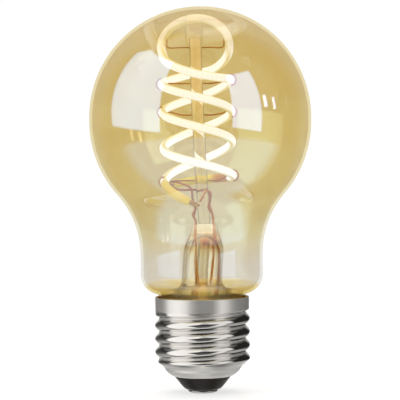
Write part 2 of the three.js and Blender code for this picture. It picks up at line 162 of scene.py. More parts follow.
# A round section carried along a path, with a half-ball on each end: path + r (n cos a + b sin a),
# where n and b stand square to the path.
def carried(path, radius, columns, capRows=5):
    tangent = np.gradient(path, axis=0)
    tangent /= np.linalg.norm(tangent, axis=1, keepdims=True)
    # the guide is whichever of a few spread directions the path never comes close to
    turns = np.arange(24) * 2.4
    tilt = np.linspace(-0.9, 0.9, 24)
    flat = np.sqrt(1 - tilt**2)
    guesses = np.stack([flat * np.cos(turns), flat * np.sin(turns), tilt], -1)
    guide = guesses[np.argmin(np.abs(tangent @ guesses.T).max(axis=0))]
    across = np.cross(tangent, guide)
    across /= np.linalg.norm(across, axis=1, keepdims=True)
    over = np.cross(tangent, across)
    cap = np.linspace(0, math.pi / 2, capRows + 1)
    pick = np.concatenate([np.zeros(capRows, int), np.arange(len(path)), np.full(capRows, len(path) - 1)])
    shift = np.concatenate([-np.cos(cap[:-1]), np.zeros(len(path)), np.cos(cap[:-1])[::-1]])
    share = np.concatenate([np.sin(cap[:-1]), np.ones(len(path)), np.sin(cap[:-1])[::-1]])
    a = np.linspace(0, 2 * math.pi, columns, endpoint=False)
    ring = across[pick, None] * np.cos(a)[None, :, None] + over[pick, None] * np.sin(a)[None, :, None]
    centre = path[pick] + tangent[pick] * (radius * shift)[:, None]
    return centre[:, None] + ring * (radius * share)[:, None, None], pick


# Makes the mesh of one CAD node and takes that node's place.
def piece(name, grid, material, slotName, nodeName, **how):
    made = gridObject(name, grid, **how)
    made.data.materials.append(material)
    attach(made, "root")
    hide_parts(nodeName)


# Shader helpers


# Makes a node, sets its settings, and fills its inputs with plain values or links.
def node(tree, kind, inputs=None, **settings):
    made = tree.nodes.new("ShaderNode" + kind)
    for key, value in settings.items():
        setattr(made, key, value)
    for key, value in (inputs or {}).items():
        socket = made.inputs[key]
        if isinstance(value, bpy.types.NodeSocket):
            tree.links.new(value, socket)
        elif socket.type == "RGBA":
            socket.default_value = (*value, 1)
        else:
            socket.default_value = value
    return made


def maths(tree, operation, first, second=0.0, clamp=False):
    inputs = {0: first, 1: second}
    return node(tree, "Math", inputs, operation=operation, use_clamp=clamp).outputs[0]


def times(tree, first, second):
    return maths(tree, "MULTIPLY", first, second)


# base + value * factor
def added(tree, base, value, factor):
    return maths(tree, "ADD", base, times(tree, value, factor))


# value from low..high to toLow..toHigh, clamped
def ranged(tree, value, low, high, toLow=0.0, toHigh=1.0, kind="LINEAR"):
    inputs = {"Value": value, "From Min": low, "From Max": high, "To Min": toLow, "To Max": toHigh}
    return node(tree, "MapRange", inputs, interpolation_type=kind).outputs[0]


def eased(tree, value, low, high, toLow=0.0, toHigh=1.0):
    return ranged(tree, value, low, high, toLow, toHigh, "SMOOTHSTEP")


# 1 between two soft steps of height, 0 outside: each step is (from, to) in mm
def heightBand(tree, height, rise, fall):
    up = eased(tree, height, rise[0] * mm, rise[1] * mm)
    down = eased(tree, height, fall[0] * mm, fall[1] * mm, 1.0, 0.0)
    return times(tree, up, down)


def mixColour(tree, factor, first, second, blend="MIX"):
    inputs = {0: factor, 6: first, 7: second}
    return node(tree, "Mix", inputs, data_type="RGBA", blend_type=blend).outputs[2]


# Colours by a value between the first stop and the last: stops are (value in that unit, colour).
def ramped(tree, value, stops, unit=1.0):
    low, high = stops[0][0], stops[-1][0]
    made = node(tree, "ValToRGB", {"Fac": ranged(tree, value, low * unit, high * unit)})
    ramp = made.color_ramp
    while len(ramp.elements) < len(stops):
        ramp.elements.new(0.5)
    for element, (place, colour) in zip(ramp.elements, stops):
        element.position = (place - low) / (high - low)
        element.color = (*colour, 1)
    return made.outputs["Color"]


# Two noises of one surface: a fine one and one eight times as broad, both 0..1.
def makeGrainGroup():
    group = bpy.data.node_groups.new("surfaceGrain", "ShaderNodeTree")
    for socketName, side, kind in (
        ("Place", "INPUT", "Vector"),
        ("Stretch", "INPUT", "Vector"),
        ("Scale", "INPUT", "Float"),
        ("Fine", "OUTPUT", "Float"),
        ("Broad", "OUTPUT", "Float"),
    ):
        group.interface.new_socket(socketName, in_out=side, socket_type=f"NodeSocket{kind}")
    entry = group.nodes.new("NodeGroupInput")
    leave = group.nodes.new("NodeGroupOutput")
    stretched = {0: entry.outputs["Place"], 1: entry.outputs["Stretch"]}
    place = node(group, "VectorMath", stretched, operation="MULTIPLY").outputs[0]
    fineScale = entry.outputs["Scale"]
    broadScale = maths(group, "DIVIDE", fineScale, 8.0)
    for output, scale, detail in (("Fine", fineScale, 3.0), ("Broad", broadScale, 2.0)):
        noise = node(group, "TexNoise", {"Vector": place, "Scale": scale, "Detail": detail})
        group.links.new(noise.outputs[0], leave.inputs[output])
    return group


grainGroup = makeGrainGroup()


def startMaterial(name):
    material = bpy.data.materials.new(name)
    material.use_nodes = True
    tree = material.node_tree
    tree.nodes.clear()
    return material, tree, tree.nodes.new("ShaderNodeOutputMaterial")


def objectPlace(tree):
    return node(tree, "TexCoord").outputs["Object"]


def heightOf(tree, place):
    return node(tree, "SeparateXYZ", {0: place}).outputs[2]


def grain(tree, place, scale, stretch=(1, 1, 1)):
    made = node(tree, "Group", node_tree=grainGroup)
    tree.links.new(place, made.inputs["Place"])
    made.inputs["Stretch"].default_value = stretch
    made.inputs["Scale"].default_value = scale
    return made.outputs["Fine"], made.outputs["Broad"]


def bumped(tree, height, strength, distance=0.05):
    inputs = {"Height": height, "Strength": strength, "Distance": distance * mm}
    return node(tree, "Bump", inputs).outputs[0]


def principled(tree, out, inputs):
    shader = node(tree, "BsdfPrincipled", inputs)
    tree.links.new(shader.outputs[0], out.inputs[0])


# A finish whose colour drifts between two tones and whose roughness and bump follow the fine grain.
def plainFinish(name, light, dark, roughness, metallic, scale, bump=0.1, specular=0.5):
    material, tree, out = startMaterial(name)
    fine, broad = grain(tree, objectPlace(tree), scale)
    inputs = {
        "Base Color": mixColour(tree, ranged(tree, broad, 0.35, 0.65), dark, light),
        "Roughness": ranged(tree, fine, 0.3, 0.7, *roughness),
        "Metallic": metallic,
        "Specular IOR Level": specular,
        "Normal": bumped(tree, fine, bump),
    }
    principled(tree, out, inputs)
    return material


# Clear glass for sight and reflection; for shadows it only tints what passes. With a rim share, the
# rims let straight through all they would mirror beyond that share.
def glassFinish(
    name, tint, shadowTint, ior=1.5, roughness=None, paintedGlow=None, mirror=None, rimMirror=None, paintedRimShade=1.0
):
    material, tree, out = startMaterial(name)
    colour = tint(tree)
    inputs = {
        "Base Color": colour,
        "Roughness": roughness(tree) if roughness else 0.0,
        "IOR": ior,
        "Transmission Weight": 1.0,
        "Metallic": 0.0,
    }
    # painted glow: emission that stands in for light falling on the glass
    if paintedGlow:
        inputs["Emission Color"] = paintedGlow(tree)
        inputs["Emission Strength"] = 1.0
    if mirror:
        inputs["Specular Tint"] = mirror(tree)
    shader = node(tree, "BsdfPrincipled", inputs)
    seen = shader.outputs[0]
    if rimMirror:
        fresnel = node(tree, "Fresnel", {"IOR": ior}).outputs[0]
        beyond = maths(tree, "SUBTRACT", 1.0, maths(tree, "DIVIDE", rimMirror, fresnel), clamp=True)
        halfWall = node(tree, "Gamma", {"Color": colour, "Gamma": 0.66}).outputs[0]
        # painted shade: the rims' straight path is darkened to draw dark edges on the glass
        paintedDarkRim = mixColour(tree, 1.0, halfWall, (paintedRimShade, paintedRimShade, paintedRimShade), "MULTIPLY")
        straight = node(tree, "BsdfTransparent", {"Color": paintedDarkRim})
        seen = node(tree, "MixShader", {0: beyond, 1: seen, 2: straight.outputs[0]}).outputs[0]
    through = node(tree, "BsdfTransparent", {"Color": shadowTint})
    isShadow = node(tree, "LightPath").outputs["Is Shadow Ray"]
    both = node(tree, "MixShader", {0: isShadow, 1: seen, 2: through.outputs[0]})
    tree.links.new(both.outputs[0], out.inputs[0])
    return material


# Glass envelope

envelopeLow, envelopeHigh = boxOf("glass_envelope")
envelope = {
    "wall": 0.8,
    "bulbRadius": (envelopeHigh[0] - envelopeLow[0]) / 2,
    "top": envelopeHigh[2],
    "belt": 0.95,  # straight part at the widest height
    "neckRadius": 16.7,
    "neckBottom": 32.6,
    "neckTop": 38.0,
    "shoulderRadius": 5.5,
    "mouthRadius": 11.7,
    "mouthZ": envelopeLow[2],
    "columns": 288,
    "shoulderStart": (-88, -82),  # degrees where the shoulder arc starts, inside and outside
    "step": 1.2,  # longest outside edge along the outline
    "rimMirror": 0.045,  # largest share of light the rims mirror
    "neckMirror": (0.22, 0.20, 0.17),  # share of its light the neck mirrors
    "mirrorRise": (37.0, 44.0),  # heights between which the round takes over
    "shadow": (0.80, 0.68, 0.45),
    "drift": (0.80, 0.66, 0.36),  # tone the film drifts towards
    "driftShare": 0.06,
    # tint of one wall by height: deepest and darkest at the shoulder towards the mouth, pale on the
    # neck, amber on the round
    "tint": [
        (25.0, (0.62, 0.51, 0.24)),
        (27.2, (0.68, 0.56, 0.26)),
        (28.3, (0.78, 0.66, 0.33)),
        (29.5, (0.81, 0.69, 0.38)),
        (29.9, (0.825, 0.79, 0.72)),
        (36.0, (0.825, 0.785, 0.70)),
        (44.0, (0.81, 0.75, 0.56)),
        (58.0, (0.80, 0.71, 0.46)),
        (72.0, (0.805, 0.70, 0.42)),
        (105.4, (0.805, 0.695, 0.42)),
    ],
}


# The outline goes round the shoulder arc, up the neck, out along the hollow fillet and over the
# round of the bulb. The fillet's radius makes it leave the neck and touch the round without a
# corner.
def envelopeOutline(inset, turnDeg):
    e = envelope
    upper = e["top"] - e["bulbRadius"]
    lower = upper - e["belt"]
    fall = lower - e["neckTop"]
    widening = e["bulbRadius"] - e["neckRadius"]
    fillet = (e["neckRadius"] ** 2 + fall**2 - e["bulbRadius"] ** 2) / (2 * widening)
    filletCentre = e["neckRadius"] + fillet
    meetDeg = math.degrees(math.atan2(-fall, filletCentre))
    shoulder = e["shoulderRadius"]
    return np.vstack([
        [[e["mouthRadius"] - inset, e["mouthZ"]]],
        arc(e["neckRadius"] - shoulder, e["neckBottom"], shoulder - inset, turnDeg, 0, 22),
        arc(filletCentre, e["neckTop"], fillet + inset, 180, 180 + meetDeg, 30),
        arc(0, lower, e["bulbRadius"] - inset, meetDeg, 0, 24)[1:],
        arc(0, upper, e["bulbRadius"] - inset, 0, 90, 62),
    ])


# The film's colour by height, drifting a little.
def envelopeTint(tree):
    place = objectPlace(tree)
    cloud = grain(tree, place, 60)[1]
    colour = ramped(tree, heightOf(tree, place), envelope["tint"], mm)
    share = ranged(tree, cloud, 0.3, 0.7, 0.0, envelope["driftShare"])
    return mixColour(tree, share, colour, envelope["drift"])


# The neck mirrors less than the round.
def envelopeMirror(tree):
    low, high = envelope["mirrorRise"]
    share = eased(tree, heightOf(tree, objectPlace(tree)), low * mm, high * mm)
    return mixColour(tree, share, envelope["neckMirror"], (1, 1, 1))


amberGlass = glassFinish(
    "amberGlass", envelopeTint, envelope["shadow"], mirror=envelopeMirror, rimMirror=envelope["rimMirror"]
)
insideStart, outsideStart = envelope["shoulderStart"]
glassInside = envelopeOutline(envelope["wall"], insideStart)[::-1]
glassOutside = divided(envelopeOutline(0, outsideStart), envelope["step"])
glassGrid = turned(np.vstack([glassInside, glassOutside]), envelope["columns"])
piece("glassBulb", glassGrid, amberGlass, "amber_glass", "glass_envelope")
print("glass envelope made")

# Stem: flare, press, exhaust tube and post

stemHigh = boxOf("stem_flare")[1]
postLow, postHigh = boxOf("filament_post")
stem = {
    "radius": 5.5,
    "wall": 0.9,
    "rimRadius": stemHigh[0],
    "pressBottom": 39.0,
    "pressTop": stemHigh[2],
    "pressHalfWidth": 3.5,
    "pressFlatness": 0.46,
    "shift": 0.9,  # the press stands this far to the right of the axis
    "postRadius": 1.7,
    "postFoot": postLow[2],
    "postTop": postHigh[2],
    "postLean": -3.4,
    "postBow": 1.38,
    "exhaustRadius": 1.6,
    "exhaustWall": 0.5,
    "exhaustTip": boxOf("exhaust_tube")[0][2],
    "exhaustTop": 41.8,
    "shiftFrom": 29.0,
    "squeezeHeight": 5,
}
stemLook = {
    "ior": 1.45,
    "shadow": (0.95, 0.92, 0.85),
    "rimMirror": 0.05,
    # painted shade that darkens the stem's rims
    "paintedRimShade": 0.8,
    "mirrorTones": ((1.0, 0.84, 0.50), (1.0, 0.80, 0.44)),
    "clearTones": ((0.985, 0.95, 0.86), (0.975, 0.92, 0.80)),
    # bands of height: (rising from, to), (falling from, to)
    "fleckBand": ((38.5, 40.5), (43.0, 44.5)),
    "fleckColour": (0.80, 0.55, 0.24),
    # painted light: emissions that stand in for the filament's light on the shoulder, the post and the
    # frosted seal, and a painted highlight band on the press
    "shoulderBand": ((40.5, 42.5), (44.0, 45.0)),
    "shoulderSheen": (0.13, 0.075, 0.012),
    "pressBand": ((44.2, 45.2), (46.4, 47.4)),
    "pressSheen": (0.17, 0.16, 0.14),
    "litPost": (60.0, 86.0),  # where the filament lights the post
    "postSheen": (0.085, 0.048, 0.03),
    "sealColour": (0.90, 0.76, 0.42),
    "sealSheen": (0.18, 0.17, 0.14),
    "sealTop": ((29.0, 30.2), (28.4, 29.4)),  # of its colour and of its sheen
    "frostTop": (28.6, 29.8),
    "frost": 0.45,
}


# a smooth step sideways, from nothing at the flare to all of it at the press
def stemShift(z):
    return stem["shift"] * smooth(stem["shiftFrom"], stem["pressTop"], z)


# The post leans: its axis is a parabola in height.
def postShift(z):
    rise = (z - stem["pressTop"]) / (stem["postTop"] - stem["pressTop"])
    return stem["shift"] + stem["postLean"] * rise + stem["postBow"] * rise * rise


# 1 below a soft step of height
def below(tree, height, step, low=1.0):
    return eased(tree, height, step[0] * mm, step[1] * mm, low, 0.0)


# Clear above the flare, golden and frosted where the flare is sealed to the neck.
def stemTint(tree):
    place = objectPlace(tree)
    fine, broad = grain(tree, place, 300)
    height = heightOf(tree, place)
    clear = mixColour(tree, ranged(tree, broad, 0.35, 0.65), *stemLook["clearTones"])
    shoulder = heightBand(tree, height, *stemLook["fleckBand"])
    flecks = times(tree, shoulder, ranged(tree, fine, 0.46, 0.56))
    clear = mixColour(tree, flecks, clear, stemLook["fleckColour"])
    return mixColour(tree, below(tree, height, stemLook["sealTop"][0]), clear, stemLook["sealColour"])


def stemRoughness(tree):
    return below(tree, heightOf(tree, objectPlace(tree)), stemLook["frostTop"], stemLook["frost"])


# Painted light: stand-in filament light on the seal, the shoulder and the post, and a painted highlight on
# the press.
def stemPaintedGlow(tree):
    height = heightOf(tree, objectPlace(tree))
    low, high = stemLook["litPost"]
    lit = eased(tree, height, low * mm, high * mm)
    paintedGlow = mixColour(tree, lit, (0, 0, 0), stemLook["postSheen"])
    for zone in ("shoulder", "press"):
        band = heightBand(tree, height, *stemLook[zone + "Band"])
        paintedGlow = mixColour(tree, band, paintedGlow, stemLook[zone + "Sheen"])
    return mixColour(tree, below(tree, height, stemLook["sealTop"][1]), paintedGlow, stemLook["sealSheen"])


# The stem mirrors in a warm tone.
def stemMirror(tree):
    return mixColour(tree, grain(tree, objectPlace(tree), 150)[1], *stemLook["mirrorTones"])


stemGlass = glassFinish(
    "stemGlass", stemTint, stemLook["shadow"], stemLook["ior"], stemRoughness, stemPaintedGlow, stemMirror,
    stemLook["rimMirror"], stemLook["paintedRimShade"],
)

bore = stem["radius"] - stem["wall"]
rim = stem["rimRadius"]
topZ = stem["pressTop"]
halfWidth = stem["pressHalfWidth"]
stemOutline = [
    [0, 43], [2.2, 42.2], [3.7, 40.6], [bore, 38.2], [bore, 29.4], [5.6, 27.6], [8, 26.3],
    [rim - 0.2, 25.7], [rim, 26.4], [8.6, 27.1], [6.4, 28.2], [5.5, 29.8], [5.5, 39], [5.1, 40.8],
    [4.2, 43], [halfWidth, 45], [halfWidth, topZ - 0.3], [halfWidth - 0.4, topZ], [0, topZ],
]
# The turned tube is squeezed in Y towards its top, and bent to the right.
stemGrid = turned(divided(softened(stemOutline, 1.2, 6, False), 0.5), 96)
pressBottom = stem["pressBottom"]
squeezed = smooth(pressBottom, pressBottom + stem["squeezeHeight"], stemGrid[..., 2])
stemGrid[..., 1] *= 1 - (1 - stem["pressFlatness"]) * squeezed
stemGrid[..., 0] += stemShift(stemGrid[..., 2])
piece("stemFlare", stemGrid, stemGlass, "stem_glass", "stem_flare")

exhaustOuter = stem["exhaustRadius"]
exhaustBore = exhaustOuter - stem["exhaustWall"]
tipZ = stem["exhaustTip"]
exhaustOutline = [
    [0, tipZ], [0.9, tipZ + 0.7], [exhaustOuter, tipZ + 3], [exhaustOuter, stem["exhaustTop"]],
    [exhaustBore, stem["exhaustTop"]], [exhaustBore, tipZ + 3], [0, tipZ + 1.6],
]
exhaustGrid = turned(divided(softened(exhaustOutline, 0.2, 4, False), 0.5), 48)
exhaustGrid[..., 0] += stemShift(exhaustGrid[..., 2])
piece("exhaustTube", exhaustGrid, stemGlass, "stem_glass", "exhaust_tube")

postRadius = stem["postRadius"]
footZ = stem["postFoot"]
postTopZ = stem["postTop"]
postOutline = [
    [0, footZ], [postRadius - 0.3, footZ], [postRadius, footZ + 0.5], [postRadius, postTopZ - 0.3],
    [postRadius - 0.3, postTopZ], [0, postTopZ],
]
postGrid = turned(divided(softened(postOutline, 0.25, 4, False), 0.6), 64)
postGrid[..., 0] += postShift(postGrid[..., 2])
piece("filamentPost", postGrid, stemGlass, "post_glass", "filament_post")
print("stem made")

# LED filament

coil = {
    "radius": 9.3,
    "shift": -0.6,
    "foot": 58.0,
    "lean": -0.0148,
    "tube": 1.15,
    "archRise": 7.7,
    "archSwing": 3.5,
    # heights of the strands, [degrees wound from the arch, height]
    "left": [[0, 94.5], [30, 90.5], [60, 88.4], [90, 86.7], [135, 85.7], [180, 85.4], [270, 81], [360, 76.7],
             [450, 72.6], [540, 68.5], [630, 63.2], [720, 57.7], [790, 53]],
    "right": [[0, 94.5], [30, 91.2], [60, 88.7], [90, 87.7], [135, 86], [180, 84.4], [270, 80.6], [360, 76.7],
              [450, 72], [540, 66.9], [630, 62.9], [720, 59.3], [810, 58], [858, 56.9]],
    "litLeft": 727.0,  # degrees wound where each strand stops glowing
    "litRight": 742.0,
    "litFade": 6,
    # painted shadow: a stretch of the unlit right strand is coloured darker where it lies in shade
    "paintedShadow": ((736, 746), (772, 792)),  # degrees wound on the right where a brown patch starts and ends
    "archFrom": (91.0, 97.0),  # heights between which the strands turn into the arch
    "windStep": 20,  # degrees between the path's knots
    "stepsPerSpan": 10,
    "columns": 28,
}


# A cubic between each pair of knots, sloped at each knot by its neighbours.
def through(knots, x):
    knots = np.asarray(knots, float)
    x = np.asarray(x, float)
    kx, ky = knots[:, 0], knots[:, 1]
    before = np.maximum(np.arange(len(kx)) - 1, 0)
    after = np.minimum(np.arange(len(kx)) + 1, len(kx) - 1)
    slope = (ky[after] - ky[before]) / (kx[after] - kx[before])
    i = np.clip(np.searchsorted(kx, x, side="left") - 1, 0, len(kx) - 2)
    span = kx[i + 1] - kx[i]
    t = (x - kx[i]) / span
    rise = ky[i + 1] - ky[i]
    bend = (slope[i] + slope[i + 1]) * span - 2 * rise
    return ky[i] + slope[i] * span * t + (rise - slope[i] * span - bend) * t**2 + bend * t**3


# the coil's axis stands off to one side and leans in proportion to height
def leaned(x, y, z):
    return np.stack([x + coil["shift"] + coil["lean"] * (z - coil["foot"]), y, z], -1)


# radius times cos and sin of the degrees wound, on the strand's own side
def onCoil(side, deg, z):
    a = np.radians(np.asarray(deg, float))
    return leaned(side * coil["radius"] * np.cos(a), side * coil["radius"] * np.sin(a), z)


# Each strand is a helix of even radius whose height follows its knots.
def strandPoint(side, deg):
    return onCoil(side, deg, through(coil["left"] if side < 0 else coil["right"], deg))


def strandEnd(side):
    return (coil["left"] if side < 0 else coil["right"])[-1][0]


# The arch is half a turn of a circle on edge, swung back on the left and forward on the right.
def archPoint(deg):
    a = np.radians(deg)
    x = -coil["radius"] * np.cos(a)
    return leaned(x, coil["archSwing"] * np.sin(2 * a), coil["left"][0][1] + coil["archRise"] * np.sin(a))


windStep = coil["windStep"]
downLeft = np.arange(strandEnd(-1), 0, -windStep)
overArch = np.arange(0, 181, windStep)
downRight = np.append(np.arange(windStep, strandEnd(1), windStep), strandEnd(1))
knotPath = np.vstack([strandPoint(-1, downLeft), archPoint(overArch), strandPoint(1, downRight)])
wound = np.concatenate([-downLeft, overArch * 0.0, downRight])
stepsPerSpan = coil["stepsPerSpan"]
filamentPath = smoothPath(knotPath, stepsPerSpan)
woundAlong = np.interp(np.arange(len(filamentPath)) / stepsPerSpan, np.arange(len(wound)), wound)
filamentGrid, ringOf = carried(filamentPath, coil["tube"], coil["columns"], 8)
litLeft, litRight, litFade = coil["litLeft"], coil["litRight"], coil["litFade"]
lit = smooth(-litLeft - litFade, -litLeft + litFade, woundAlong)
lit = lit * (1 - smooth(litRight - litFade, litRight + litFade, woundAlong))
# share of the painted shadow along the filament
paintedShadowStart, paintedShadowEnd = coil["paintedShadow"]
paintedShadow = smooth(*paintedShadowStart, woundAlong) * (1 - smooth(*paintedShadowEnd, woundAlong))
travelled = np.concatenate([[0], np.cumsum(np.linalg.norm(np.diff(filamentPath, axis=0), axis=1))])
# How squarely each point of the surface faces away from or towards the middle of its turn: the axis
# on the strands, the arch's own centre on the arch.
spoke = filamentGrid - filamentPath[ringOf][:, None]
middle = filamentPath.copy()
middle[:, 0] = coil["shift"] + coil["lean"] * (filamentPath[:, 2] - coil["foot"])
middle[:, 1] = 0
middle[:, 2] = np.minimum(middle[:, 2], coil["left"][0][1])
outward = filamentPath - middle
outward /= np.linalg.norm(outward, axis=1, keepdims=True)
squareness = (spoke * outward[ringOf][:, None]).sum(-1) / coil["tube"]
shape = filamentGrid.shape[:2]
onArch = np.broadcast_to(smooth(*coil["archFrom"], filamentPath[ringOf, 2])[:, None], shape)
face = np.abs(squareness) * (1 - onArch) + smooth(-1.0, 0.1, squareness) * onArch
filamentFacts = {"face": face, "arch": onArch}
for factName, along in (("lit", lit), ("paintedShadow", paintedShadow), ("travelled", travelled)):
    filamentFacts[factName] = np.broadcast_to(along[ringOf][:, None], shape)

glow = {
    "chipSpacing": 1.3,  # mm between the light chips under the phosphor
    "strength": 1.3,
    "coreColour": (0.68, 0.82, 1.36),  # over the chips, on the two broad faces
    "archColour": (0.56, 0.66, 0.98),
    "edgeColour": (0.36, 0.38, 0.24),  # along the sides
    # painted light: the unlit strand ends glow faintly with the light of the lit strands beside them
    "unlitPaintedGlow": (0.10, 0.10, 0.02),
    "unlitTones": ((0.84, 0.78, 0.12), (0.93, 0.82, 0.22)),
    "litBody": (0.62, 0.58, 0.46),  # the coat itself where it glows
    "chipDip": 0.07,  # how much darker it is between the chips
    "faceRange": (0.15, 0.8),
    # colour of the painted shadow on the unlit strand
    "paintedShadowColour": (0.62, 0.27, 0.05),
}


def makePhosphor():
    material, tree, out = startMaterial("filamentPhosphor")
    fine, broad = grain(tree, objectPlace(tree), 700)
    facts = {}
    for factName in filamentFacts:
        facts[factName] = node(tree, "Attribute", attribute_name=factName).outputs["Fac"]
    turn = times(tree, facts["travelled"], 2 * math.pi / glow["chipSpacing"])
    wave = maths(tree, "SINE", turn)
    core = eased(tree, facts["face"], *glow["faceRange"])
    coreColour = mixColour(tree, facts["arch"], glow["coreColour"], glow["archColour"])
    warm = mixColour(tree, core, glow["edgeColour"], coreColour)
    warm = mixColour(tree, ranged(tree, wave, -1.0, 1.0, 0.0, glow["chipDip"]), warm, (0, 0, 0))
    yellow = mixColour(tree, ranged(tree, broad, 0.3, 0.7), *glow["unlitTones"])
    # the painted shadow darkens the unlit yellow coat
    body = mixColour(tree, facts["paintedShadow"], yellow, glow["paintedShadowColour"])
    inputs = {
        "Base Color": mixColour(tree, facts["lit"], body, glow["litBody"]),
        "Roughness": ranged(tree, fine, 0.3, 0.7, 0.4, 0.55),
        "Normal": bumped(tree, fine, 0.15),
        # the lit strands glow as the lamp; the unlit ends get a painted glow of their neighbours' light
        "Emission Color": mixColour(tree, facts["lit"], glow["unlitPaintedGlow"], warm),
        "Emission Strength": glow["strength"],
    }
    principled(tree, out, inputs)
    return material


phosphor = makePhosphor()
piece("ledFilament", filamentGrid, phosphor, "filament_phosphor", "led_filament", facts=filamentFacts)
print("filament made")

# Terminals, leads and supports

wires = {
    "terminalRadius": 0.75,
    "terminalGap": 2.0,
    "terminalTurn": 13.0,
    "tipGap": 4,  # degrees from the terminal to the tip of its lead
    "leadX": 2.4,
    "leadY": 0.55,
    "leadRadius": 0.3,
    "sleeveRadius": 0.6,
    "supportRadius": 0.2,
    "gap": 0.15,
}
wireLooks = {
    # light tone, dark tone, roughness range, metallic, grain scale, bump
    "leadWire": ((0.82, 0.42, 0.08), (0.60, 0.27, 0.04), (0.3, 0.45), 0.35, 1500, 0.1),
    "terminalMetal": ((0.84, 0.62, 0.20), (0.66, 0.44, 0.11), (0.3, 0.45), 0.5, 1200, 0.1),
    "leadSleeve": ((0.86, 0.80, 0.68), (0.74, 0.66, 0.52), (0.6, 0.8), 0.0, 2200, 0.5),
    "supportWire": ((0.68, 0.33, 0.07), (0.48, 0.21, 0.04), (0.3, 0.45), 0.5, 1500, 0.1),
}
wireFinish = {finishName: plainFinish(finishName, *look) for finishName, look in wireLooks.items()}


# steps is the number of rings between two points, columns the number of points in a ring
def wirePiece(name, points, radius, finishName, slotName, nodeName, steps=10, columns=16):
    grid = carried(smoothPath(points, steps), radius, columns)[0]
    piece(name, grid, wireFinish[finishName], slotName, nodeName)


# The strand carried on past its end, falling at the slope of its last ten degrees.
def terminalPoint(side, turn):
    end = strandEnd(side)
    endZ = strandPoint(side, end)[2]
    slope = (endZ - strandPoint(side, end - 10)[2]) / 10
    return onCoil(side, end + np.asarray(turn, float), endZ + slope * turn)


for side, word in ((-1, "left"), (1, "right")):
    turns = np.linspace(wires["terminalGap"], wires["terminalGap"] + wires["terminalTurn"], 5)
    radius = wires["terminalRadius"]
    name = f"terminal_{word}"
    path = terminalPoint(side, turns)
    wirePiece(name, path, radius, "terminalMetal", "lead_nickel", f"filament_{name}", 6, 24)
tipTurn = wires["terminalGap"] + wires["terminalTurn"] + wires["tipGap"]

# the leads by side of the press, left or right and front or back
leads = {
    # foot in the flare, how far to the side its sleeve reaches the driver board, tip, bends
    "left_front": (
        [-0.9, -2.4, 29.2], -4.5, terminalPoint(-1, tipTurn),
        [[-2, -1.4, 48.6], [-1.6, -2.6, 50.6], [-2.4, -4.6, 52.8], [-1.2, -6.4, 52.2], [-0.6, -8, 51.9]],
    ),
    "left_back": (
        [-1.6, 2.4, 29.2], -2.2, [-8.1, 3.8, 57.8],
        [[-2.3, 1.4, 49], [-1.4, 2.2, 51], [-2.3, 2.6, 53.4], [-2.8, 2.3, 55.8], [-5.6, 2.4, 57.3]],
    ),
    "right_front": (
        [2.2, -2, 29.2], 4.6, [-0.3, -9, 52.9],
        [[3.1, -1.6, 49], [2, -2.6, 51], [2.5, -3, 53.4], [1.6, -4.6, 55.4], [0.7, -7, 54.4]],
    ),
    "right_back": (
        [2.4, 2.4, 29.2], 2.2, terminalPoint(1, tipTurn),
        [[2.9, 1.8, 49.6], [2.2, 2.4, 52.4], [2.6, 3.2, 54.6], [-1.6, 4.4, 55.4], [-5.6, 4, 55.4]],
    ),
}
for name, (foot, board, tip, bends) in leads.items():
    side = -1 if name.startswith("left") else 1
    back = -1 if name.endswith("front") else 1
    x = stem["shift"] + side * wires["leadX"]
    y = back * wires["leadY"]
    inFlare = [(foot[0] + x) / 2 + side * 0.3, back * 1.4, 36]
    points = np.vstack([foot, inFlare, [x, y, 41], [x, y, 44], [x, y, 47], bends, tip])
    wirePiece(f"lead_{name}", points, wires["leadRadius"], "leadWire", "lead_nickel", f"lead_in_{name}")
    nearY, farY = (-1.2, 1) if back < 0 else (3, 3.3)
    above = [(foot[0] + board) / 2, nearY, 25.8]
    run = [[foot[0], foot[1], foot[2] - 0.3], above, [board, farY, 23.6], [board, 3.5, 22.0]]
    radius = wires["sleeveRadius"]
    wirePiece(f"sleeve_{name}", run, radius, "leadSleeve", "lead_sleeve", f"outer_lead_{name}", 14, 20)


# A hook: a straight reach from the post, then part of a ring round the strand in the plane square
# to it. The top pair only turn up inside the strand.
def supportPoints(strand, deg, rootZ, isTop):
    centre = strandPoint(strand, deg)
    along = strandPoint(strand, deg + 4) - strandPoint(strand, max(0, deg - 4))
    along = along / np.linalg.norm(along)
    rootX = postShift(rootZ)
    side = math.copysign(1, centre[0] - rootX)
    inward = np.array([-side, 0, 0])
    inward = inward - along * (inward @ along)
    inward /= np.linalg.norm(inward)
    over = np.cross(along, inward) * side
    reach = stem["postRadius"]
    straight = [[rootX + side * (reach + far), 0, rootZ] for far in (wires["gap"], 2.5)]
    ringRadius = coil["tube"] + wires["supportRadius"] + 0.2
    if isTop:
        inside = centre[0] - side * ringRadius
        turnedUp = [[inside - side * 0.5, 0, rootZ], [inside, 0, rootZ + 0.5], [inside, 0, rootZ + 2.2]]
        return np.vstack([straight, turnedUp])
    turn = np.radians(np.arange(0, 261, 32.5))[:, None]
    return np.vstack([straight, centre + ringRadius * (inward * np.cos(turn) + over * np.sin(turn))])


# each row: the strand it holds on the left, degrees wound, height at the post
supportRows = {
    "top": (-1, 0, 94.3),
    "upper": (1, 180, 84.5),
    "middle": (-1, 360, 75.9),
    "low": (-1, 720, 58.0),
}
for row, (strand, deg, rootZ) in supportRows.items():
    for word, own in (("left", strand), ("right", -strand)):
        name = f"support_{row}_{word}"
        points = supportPoints(own, deg, rootZ, row == "top")
        radius = wires["supportRadius"]
        wirePiece(f"{name}_wire", points, radius, "supportWire", "support_wire", name, 8, 12)
print("leads and supports made")

# Screw shell

